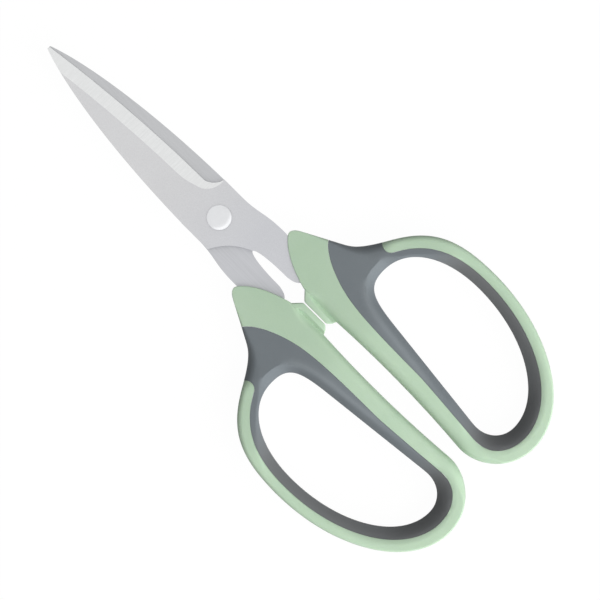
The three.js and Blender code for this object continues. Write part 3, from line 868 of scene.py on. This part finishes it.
def end_tree(tree, made, finish):
    real = add_node(tree, "GeometryNodeRealizeInstances", {"Geometry": made})
    dressed = add_node(tree, "GeometryNodeSetMaterial", {"Geometry": real.outputs[0], "Material": finish})
    add_node(tree, "NodeGroupOutput", {"Geometry": dressed.outputs[0]})
    print(f"{tree.name}: {len(tree.nodes)} nodes")


print("Geometry Nodes trees before this lesson's own two:", len(bpy.data.node_groups))

# %% [markdown]
# ## Rivet and washer
#
# Both are turned parts: a half section goes once round the pivot. Blender's Spin could do it, but Geometry
# Nodes keep the rule in one place for both pieces. A grid gives the mesh, its width becomes the angle and its
# height the way along the section, and each point is set on the section and turned about the axis. Merging
# closes the seam and the poles.

# %% The turning tree
WELD = 0.001  # points that are closer than this are merged


def turning_tree():
    tree, inputs, given = start_tree("Turned piece", {
        "Half section": "Object", "Points around": "Int", "Points along": "Int", "Finish": "Material"})
    grid = add_node(tree, "GeometryNodeMeshGrid", {
        "Size X": 1.0, "Size Y": 1.0,
        "Vertices X": given["Points around"], "Vertices Y": given["Points along"]})
    position = tree.nodes.new("GeometryNodeInputPosition").outputs[0]
    place = add_node(tree, "ShaderNodeSeparateXYZ", {"Vector": position}).outputs
    angle = between(tree, place["X"], 0.0, 2 * math.pi, -0.5, 0.5)
    share = between(tree, place["Y"], 0.0, 1.0, -0.5, 0.5)
    section = add_node(tree, "GeometryNodeObjectInfo", {"Object": given["Half section"]})
    on_section = add_node(tree, "GeometryNodeSampleCurve", {
        "Curves": section.outputs["Geometry"], "Factor": share}, use_all_curves=True)
    turned = add_node(tree, "ShaderNodeVectorRotate", {
        "Vector": on_section.outputs["Position"], "Angle": angle}, rotation_type="Z_AXIS")
    placed = add_node(tree, "GeometryNodeSetPosition", {
        "Geometry": grid.outputs["Mesh"], "Position": turned.outputs[0]})
    closed = add_node(tree, "GeometryNodeMergeByDistance", {
        "Geometry": placed.outputs[0], "Distance": WELD})
    end_tree(tree, closed.outputs[0], given["Finish"])
    return tree, inputs


turning = turning_tree()

# %% [markdown]
# ## Finishes
#
# Every finish is procedural and reads Object coordinates, which are metres here, so a noise of scale 4000
# has grains of about a quarter of a millimetre. An image could hold the same grain, but noise has no seams
# and stays sharp close up. Colours are written as they look on screen and turned into linear light. What
# varies over a surface is linked to the shader, and what is even is set on the shader's own socket.

# %% Colour and texture helpers
def on_screen(red, green, blue):
    shares = [value / 255 for value in (red, green, blue)]
    return (*[s / 12.92 if s <= 0.04045 else ((s + 0.055) / 1.055) ** 2.4 for s in shares], 1.0)


def start_finish(name):
    material = bpy.data.materials.new(name)
    material.use_nodes = True
    return material, material.node_tree


def object_place(tree):
    return add_node(tree, "ShaderNodeTexCoord").outputs["Object"]


def noise(tree, scale, detail=4.0, stretch=None):
    place = object_place(tree)
    if stretch:
        place = add_node(tree, "ShaderNodeMapping", {"Vector": place, "Scale": stretch}).outputs[0]
    inputs = {"Vector": place, "Scale": scale, "Detail": detail}
    return add_node(tree, "ShaderNodeTexNoise", inputs).outputs["Fac"]


def blend(tree, share, first, second):
    inputs = {"Factor_Float": share, "A_Color": first, "B_Color": second}
    return add_node(tree, "ShaderNodeMix", inputs, data_type="RGBA").outputs["Result"]


def bump(tree, height, strength, depth):
    inputs = {"Height": height, "Strength": strength, "Distance": depth}
    return add_node(tree, "ShaderNodeBump", inputs).outputs[0]


def end_finish(material, tone, roughness, relief, even_settings):
    tree = material.node_tree
    shader = tree.nodes["Principled BSDF"]
    for name, value in (("Base Color", tone), ("Roughness", roughness), ("Normal", relief)):
        tree.links.new(value, shader.inputs[name])
    for name, value in even_settings.items():
        shader.inputs[name].default_value = value
    print(f"{material.name}: {len(tree.nodes)} nodes")
    return material


print(f"Half of the screen's white is {on_screen(127.5, 127.5, 127.5)[0]:.2f} in linear light")

# %% [markdown]
# The blade's flats have the fine satin of tumbled sheet. The shank is painted darker, as shade near the
# handles, and this painted shade fades out ahead of the pivot. The bevel is ground across the blade, so its
# marks run from the bevel's line to the edge. It is brighter, partly from its finer grinding and partly as a
# painted highlight. The inner face is ground along the blade. It is a little darker, partly from its finish
# and partly as painted shade from the front blade above it.

# %% Blade steel
# the shank's darker tone is painted shade near the handles, and it fades into the blade's tone between these
# distances from the pivot
SHANK_SHADE_BACK, SHANK_SHADE_AHEAD = 13, 16  # the shank's tone becomes the blade's between these, from the pivot
# the first tone is the shank's painted shade
SHADED_SHANK_TONE, FLAT_TONE = on_screen(206, 207, 211), on_screen(216, 216, 217)
# the inner face's tones are partly its finish and partly painted shade from the front blade above it, with
# more painted shade on the shank
SHADED_INNER_SHANK_TONE, INNER_FINISH_AND_SHADE_TONE = on_screen(199, 200, 204), on_screen(195, 196, 198)
# the ground bevel's brighter tone is partly its finer grinding and partly a painted highlight
GROUND_FINISH_AND_HIGHLIGHT_TONE = on_screen(231, 232, 232)
CLOUD_TONE, GRAIN_TONE = on_screen(186, 187, 191), on_screen(120, 121, 124)


def attribute(tree, name):
    return add_node(tree, "ShaderNodeAttribute", attribute_name=name).outputs["Fac"]


def mixed(tree, share, first, second):
    inputs = {"Factor_Float": share, "A_Float": first, "B_Float": second}
    return add_node(tree, "ShaderNodeMix", inputs).outputs[0]


def blade_finish():
    material, tree = start_finish("Blade steel")
    satin = noise(tree, scale=3200, detail=6.0)
    across = noise(tree, scale=1.0, detail=3.0, stretch=(5200, 160, 160))
    along = noise(tree, scale=1.0, detail=3.0, stretch=(90, 4200, 4200))
    cloud = noise(tree, scale=45, detail=3.0)
    ground, inner = attribute(tree, "ground"), attribute(tree, "inner")
    marks = mixed(tree, inner, mixed(tree, ground, satin, across), along)
    ahead = add_node(tree, "ShaderNodeSeparateXYZ", {"Vector": object_place(tree)}).outputs["X"]
    # painted shade on the shank, fading out ahead of the pivot
    past_shank_shade = between(tree, ahead, 0, 1, pivot.x - SHANK_SHADE_BACK * MM, pivot.x + SHANK_SHADE_AHEAD * MM)
    flat = blend(tree, past_shank_shade, SHADED_SHANK_TONE, FLAT_TONE)
    clouded = blend(tree, between(tree, cloud, 0.0, 0.2), flat, CLOUD_TONE)
    # painted shade on the inner face, and a painted highlight on the ground bevel
    inner_finish_and_shade = blend(tree, past_shank_shade, SHADED_INNER_SHANK_TONE, INNER_FINISH_AND_SHADE_TONE)
    tone = blend(tree, inner, blend(tree, ground, clouded, GROUND_FINISH_AND_HIGHLIGHT_TONE), inner_finish_and_shade)
    grained = blend(tree, between(tree, marks, 0.0, 0.1), tone, GRAIN_TONE)
    relief = bump(tree, marks, strength=0.12, depth=0.02 * MM)
    return end_finish(material, grained, between(tree, marks, 0.34, 0.46), relief, {"Metallic": 1.0})


blade_steel = blade_finish()

# %% [markdown]
# The rivet's head is polished on a lathe, so its marks are fine rings about the pivot. A Mapping node moves
# the centre of the rings there.

# %% Rivet steel
RIVET_TONE, RIVET_CLOUD_TONE = on_screen(223, 224, 226), on_screen(225, 226, 228)


def rivet_finish():
    material, tree = start_finish("Rivet steel")
    place = add_node(tree, "ShaderNodeMapping", {
        "Vector": object_place(tree), "Location": (-pivot.x, -pivot.y, 0)})
    rings = add_node(tree, "ShaderNodeTexWave", {
        "Vector": place.outputs[0], "Scale": 900.0, "Distortion": 1.5, "Detail": 2.0},
        wave_type="RINGS", rings_direction="Z").outputs["Fac"]
    cloud = noise(tree, scale=700)
    tone = blend(tree, between(tree, cloud, 0, 1), RIVET_TONE, RIVET_CLOUD_TONE)
    relief = bump(tree, rings, strength=0.01, depth=0.01 * MM)
    return end_finish(material, tone, between(tree, rings, 0.33, 0.36, 0, 1), relief, {"Metallic": 1.0})


rivet_steel = rivet_finish()

# %% [markdown]
# The shell is a pale green hard plastic with the fine even texture of an eroded mould. Its colour clouds a
# little over a few centimetres, the texture makes its gloss soft, and light goes a little way into it.

# %% Green plastic
GREEN_TONE, GREEN_CLOUD_TONE = on_screen(184, 209, 183), on_screen(191, 214, 189)
GREEN_SPECK_TONE = on_screen(140, 168, 138)


def green_finish():
    material, tree = start_finish("Green plastic")
    cloud = noise(tree, scale=55, detail=3.0)
    texture = noise(tree, scale=4200, detail=3.0)
    tone = blend(tree, between(tree, cloud, 0, 1), GREEN_TONE, GREEN_CLOUD_TONE)
    speckled = blend(tree, between(tree, texture, 0.0, 0.12), tone, GREEN_SPECK_TONE)
    relief = bump(tree, texture, strength=0.2, depth=0.03 * MM)
    return end_finish(material, speckled, between(tree, texture, 0.42, 0.54), relief, {
        "Subsurface Weight": 0.15, "Subsurface Radius": (1.0, 1.0, 0.7), "Subsurface Scale": 1.2 * MM})


green_plastic = green_finish()

# %% [markdown]
# The grip is a matte soft rubber. It scatters light at a grazing angle, which a little sheen gives, and its
# skin has a finer, softer texture than the shell's.

# %% Grey rubber
GREY_TONE, GREY_CLOUD_TONE = on_screen(114, 121, 126), on_screen(121, 128, 132)
# the second pair are painted: shade inside the loop, and a highlight on the ridge beside the hole
LOOP_SHADE_TONE, RIDGE_HIGHLIGHT_TONE = on_screen(114, 116, 117), on_screen(133, 140, 144)
GREY_SPECK_TONE = on_screen(82, 90, 95)


def grey_finish():
    material, tree = start_finish("Grey rubber")
    cloud = noise(tree, scale=70, detail=3.0)
    skin = noise(tree, scale=5200, detail=4.0)
    tone = blend(tree, between(tree, cloud, 0, 1), GREY_TONE, GREY_CLOUD_TONE)
    # painted shade inside the loop, then a painted highlight on the ridge
    loop_shaded = blend(tree, attribute(tree, "painted_loop_shade"), tone, LOOP_SHADE_TONE)
    painted_ridge_highlight = blend(tree, attribute(tree, "painted_ridge_highlight"), loop_shaded, RIDGE_HIGHLIGHT_TONE)
    speckled = blend(tree, between(tree, skin, 0.0, 0.15), painted_ridge_highlight, GREY_SPECK_TONE)
    relief = bump(tree, skin, strength=0.22, depth=0.03 * MM)
    return end_finish(material, speckled, between(tree, skin, 0.66, 0.8), relief, {
        "Specular IOR Level": 0.35, "Sheen Weight": 0.08, "Sheen Roughness": 0.6})


grey_rubber = grey_finish()

# %% [markdown]
# With their finish made, the rivet and its washer can be turned. The washer is a dished ring, so its section
# is a closed shape off the axis. The rivet's section is an open line from pole to pole.

# %% The washer
POINTS_AROUND, POINTS_ALONG = 129, 160
WASHER_GAP, WASHER_WIDTH, WASHER_THICKNESS = 0.15, 1.7, 0.5


def path_object(name, points, closed):
    data = bpy.data.curves.new(name, "CURVE")
    data.dimensions = "3D"
    spline = data.splines.new("POLY")
    spline.points.add(len(points) - 1)
    for point, place in zip(spline.points, points):
        point.co = (*map(float, place), 1)
    spline.use_cyclic_u = closed
    return add_object(name, data)


def piece_from(tree, inputs, name, path, settings):
    """The plain mesh that a tree makes of a path, which is then removed."""
    piece = add_object(name, bpy.data.meshes.new(name))
    modifier = piece.modifiers.new(tree.name, "NODES")
    modifier.node_group = tree
    for label, value in settings.items():
        modifier[inputs[label]] = value
    apply_modifiers(piece)
    face_outwards(piece.data)
    bpy.data.objects.remove(path)
    print(f"Faces of the {name}: {len(piece.data.polygons)}")
    return piece


def turned_piece(name, section, closed, finish):
    path = path_object(f"{name} section", [(radius, 0, height) for radius, height in section], closed)
    return piece_from(*turning, name, path, {
        "Half section": path, "Points around": POINTS_AROUND, "Points along": POINTS_ALONG, "Finish": finish})


def heights_of(box):
    return [(place.z - pivot.z) / MM for place in box]


def washer_section():
    low, high = heights_of(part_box("tension_washer"))
    inner = RIVET_RADIUS + WASHER_GAP
    outer = inner + WASHER_WIDTH
    inner_side = [(inner, low + WASHER_THICKNESS), (inner, low)]
    return inner_side + [(outer, high - WASHER_THICKNESS), (outer, high)]


washer = turned_piece("turned washer", washer_section(), True, rivet_steel)

# %% The rivet
HEAD_OVERHANG, HEAD_RIM, HEAD_GAP = 1.3, 0.25, 0.15
HEAD_ROUND, HEAD_DOME, HEAD_SINK = 0.12, 0.66, 0.4
DOME_POWER = 4  # the head is flat in the middle and falls off towards its rim
TAIL_OVERHANG, TAIL_HEIGHT = 0.8, 0.9


def rivet_section():
    low, high = heights_of(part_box("pivot_rivet"))
    head, tail = RIVET_RADIUS + HEAD_OVERHANG, RIVET_RADIUS + TAIL_OVERHANG
    head_bottom, tail_top = blade_outside + HEAD_GAP, low + TAIL_HEIGHT
    path = [np.array([0, low])]
    corner(path, np.array([tail, low]), np.array([tail, tail_top]))
    path += [np.array([RIVET_RADIUS, tail_top]), np.array([RIVET_RADIUS, head_bottom])]
    path += [np.array([head, head_bottom]), np.array([head, head_bottom + HEAD_RIM])]
    top = high - HEAD_SINK
    rim = top - HEAD_DOME
    corner(path, np.array([head, rim]), np.array([head - HEAD_ROUND, rim]))
    for share in np.linspace(1, 0, CURVE_STEPS + 1)[1:]:
        path.append(np.array([(head - HEAD_ROUND) * share, top - HEAD_DOME * share**DOME_POWER]))
    return path


rivet = turned_piece("turned rivet", rivet_section(), False, rivet_steel)

# %% [markdown]
# ## Parting line
#
# The two halves of the mould leave a fine raised line round the shell. It follows a path, so Geometry Nodes
# sweep a small round along it. A curve object with a bevel would look the same, but a tree keeps the size
# of the line as a named input. The path is the part of the outside that belongs to the loop, from the grip
# to the stop.

# %% The sweeping tree
PARTING_SIDES = 8  # points round the small round


def sweeping_tree():
    tree, inputs, given = start_tree("Parting line", {
        "Path": "Object", "Radius": "Float", "Finish": "Material"})
    path = add_node(tree, "GeometryNodeObjectInfo", {"Object": given["Path"]})
    small_round = add_node(tree, "GeometryNodeCurvePrimitiveCircle", {
        "Resolution": PARTING_SIDES, "Radius": given["Radius"]})
    swept = add_node(tree, "GeometryNodeCurveToMesh", {
        "Curve": path.outputs["Geometry"], "Profile Curve": small_round.outputs[0], "Fill Caps": True})
    end_tree(tree, swept.outputs[0], given["Finish"])
    return tree, inputs


sweeping = sweeping_tree()

# %% The parting line of a shell
PARTING_RADIUS = 0.12
PARTING_DEPTH = 0.1  # how far the middle of the line lies inside the shell


def parting_line():
    path = outside + inwards(outside) * PARTING_DEPTH
    on_grip = is_inside(outside, grip_line)
    start = next(i for i in range(len(path)) if not on_grip[i] and on_grip[i - 1])
    run = np.roll(path, -start, axis=0)
    side = np.roll(on_grip | (back_of(outside) < back_of(waist)), -start)
    loop_part = [(*place, 0) for place, off in zip(run, side) if not off]
    guide = path_object("parting guide", loop_part, False)
    return piece_from(*sweeping, "parting line", guide, {
        "Path": guide, "Radius": PARTING_RADIUS, "Finish": green_plastic})


parting = parting_line()

# %% [markdown]
# ## Putting the pieces in place
#
# Each drawn piece is copied for its half, its mesh is moved to where the CAD model has it, and it rides on
# that body. Smooth shading is kept off the edges that are sharp on the real thing.

# %% Place, shade and ride
MOULDED_ANGLE, STAMPED_SHARP_ANGLE = math.radians(30), math.radians(12)
HALVES = ((front_half, "front_half", "front_blade", "right"), (rear_half, "rear_half", "rear_blade", "left"))


def put(drawn, name, place, finish, rides_on, stands_for, sharp_angle=MOULDED_ANGLE):
    piece = copy_of(drawn, name)
    piece.data.name = name
    piece.data.transform(place)
    piece.data.materials.clear()
    piece.data.materials.append(finish)
    piece.data.shade_smooth()
    piece.data.set_sharp_from_angle(angle=sharp_angle)
    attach(piece, rides_on)
    if stands_for:
        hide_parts(stands_for)


for place, rides_on, blade_node, side in HALVES:
    put(blade, f"{blade_node}_dressed", place, blade_steel, rides_on, blade_node,
        STAMPED_SHARP_ANGLE)
    put(shell, f"{side}_shell", place, green_plastic, rides_on, f"{side}_handle_shell")
    put(grip, f"{side}_grip", place, grey_rubber, rides_on, f"{side}_handle_grip")
    put(parting, f"{side}_parting_line", place, green_plastic, rides_on, None)
put(rivet, "rivet", front_half, rivet_steel, "rear_half", "pivot_rivet")
put(washer, "washer", front_half, rivet_steel, "rear_half", "tension_washer")

for drawn in (blade, shell, grip, parting, rivet, washer):
    bpy.data.objects.remove(drawn)

# %% [markdown]
# ## Floor and light
#
# The photograph has a white ground and a soft light from the handles' end, so edges that face the handles'
# end are bright and those that face the tips are dark. A large area lamp is that light. It is kept out of the
# gloss, because the steel in the photograph mirrors no bright patch. A second lamp, wide and dim, stands
# nearer and a little to the other side, and draws the pale crescent on the rivet's head. An even world fills
# the rest. The camera sees the floor as white, and the floor still takes the object's shadow.

# %% Floor
FLOOR_SIZE = 6.0
FLOOR_GREY = 0.35  # what the floor gives back to the object
FLOOR_WHITE = 1.065  # strength of its own white
FLOOR_GLOW = 0.92  # the share of that white in what the camera sees, and the rest depends on the light
WHITE = (1, 1, 1, 1)


def larger(tree, first, second):
    node = add_node(tree, "ShaderNodeMath", operation="MAXIMUM")
    tree.links.new(first, node.inputs[0])
    tree.links.new(second, node.inputs[1])
    return node.outputs[0]


def seen_directly(tree):
    """1 for what the camera sees, also in a shiny or clear surface, and 0 for what only lights the rest."""
    paths = add_node(tree, "ShaderNodeLightPath").outputs
    shiny = larger(tree, paths["Is Glossy Ray"], paths["Is Transmission Ray"])
    return larger(tree, paths["Is Camera Ray"], shiny)


def choose(tree, share, first, second, output):
    chooser = add_node(tree, "ShaderNodeMixShader", {"Fac": share})
    tree.links.new(first.outputs[0], chooser.inputs[1])
    tree.links.new(second.outputs[0], chooser.inputs[2])
    tree.links.new(chooser.outputs[0], output.inputs["Surface"])


def white_floor():
    bpy.ops.mesh.primitive_plane_add(size=FLOOR_SIZE)
    floor = bpy.context.object
    floor.name = "floor"
    material, tree = start_finish("White floor")
    matte = add_node(tree, "ShaderNodeBsdfDiffuse", {"Color": (FLOOR_GREY, FLOOR_GREY, FLOOR_GREY, 1)})
    glow = add_node(tree, "ShaderNodeEmission", {"Color": WHITE, "Strength": FLOOR_WHITE})
    share = between(tree, seen_directly(tree), 0, FLOOR_GLOW, 0, 1)
    choose(tree, share, matte, glow, tree.nodes["Material Output"])
    floor.data.materials.append(material)
    print(f"{floor.name}: {FLOOR_SIZE} m wide")


white_floor()

# %% World
SKY_FILL = 0.2


def even_world():
    world = bpy.data.worlds.new("Even white")
    world.use_nodes = True
    tree = world.node_tree
    fill_light = tree.nodes["Background"]
    fill_light.inputs["Color"].default_value = WHITE
    fill_light.inputs["Strength"].default_value = SKY_FILL
    white = add_node(tree, "ShaderNodeBackground", {"Color": WHITE, "Strength": 1.0})
    choose(tree, seen_directly(tree), fill_light, white, tree.nodes["World Output"])
    bpy.context.scene.world = world
    print(f"{world.name}: lights the object at {SKY_FILL}")


even_world()

# %% Lamps
LAMP_HEIGHT = math.radians(37)
LAMP_TURN, LAMP_DISTANCE, LAMP_SIZE, LAMP_POWER = math.radians(188), 0.9, (1.1, 1.1), 12.9
GLINT_TURN, GLINT_DISTANCE, GLINT_SIZE, GLINT_POWER = math.radians(172), 0.7, (2.4, 0.5), 1.5


def soft_lamp(name, turn, distance, size, power, shows_in_gloss):
    data = bpy.data.lights.new(name, "AREA")
    data.shape = "RECTANGLE"
    data.size, data.size_y = size
    data.energy = power
    lamp = add_object(name, data)
    level = Vector((math.cos(turn), math.sin(turn), 0))
    way = level * math.cos(LAMP_HEIGHT) + Vector((0, 0, math.sin(LAMP_HEIGHT)))
    lamp.location = way * distance
    lamp.rotation_euler = way.to_track_quat("Z", "Y").to_euler()
    lamp.visible_glossy = shows_in_gloss
    print(f"{name}: {power} W, {distance} m away")


soft_lamp("handle end light", LAMP_TURN, LAMP_DISTANCE, LAMP_SIZE, LAMP_POWER, False)
soft_lamp("glint", GLINT_TURN, GLINT_DISTANCE, GLINT_SIZE, GLINT_POWER, True)

# %% [markdown]
# ## Camera
#
# The photograph is taken from straight above, with the scissors' axis on the diagonal and the tips at the
# upper left. So the camera looks down and is turned to that diagonal. The photograph shows no perspective in
# the thickness, so the camera stands two metres away with a very long lens. The width of the picture at the
# middle of the scissors' thickness and the point below the camera were measured in the photograph from the
# places of the rivet, the tip and the handles.

# %% Camera
PICTURE_WIDTH = 181.5
VIEW_CENTRE_BACK, VIEW_CENTRE_OUT = 34.87, -0.34
CAMERA_DISTANCE = 2000
CAMERA_TURN = math.radians(225)


def photo_camera():
    data = bpy.data.cameras.new("photo camera")
    data.lens = data.sensor_width * CAMERA_DISTANCE / PICTURE_WIDTH
    camera = add_object("photo camera", data)
    camera.location = front_half @ Vector((*at(VIEW_CENTRE_BACK, VIEW_CENTRE_OUT), CAMERA_DISTANCE))
    camera.rotation_euler.z = CAMERA_TURN
    bpy.context.scene.camera = camera
    print(f"Lens: {data.lens:.0f} mm")


photo_camera()
bpy.context.scene.view_settings.view_transform = "Standard"
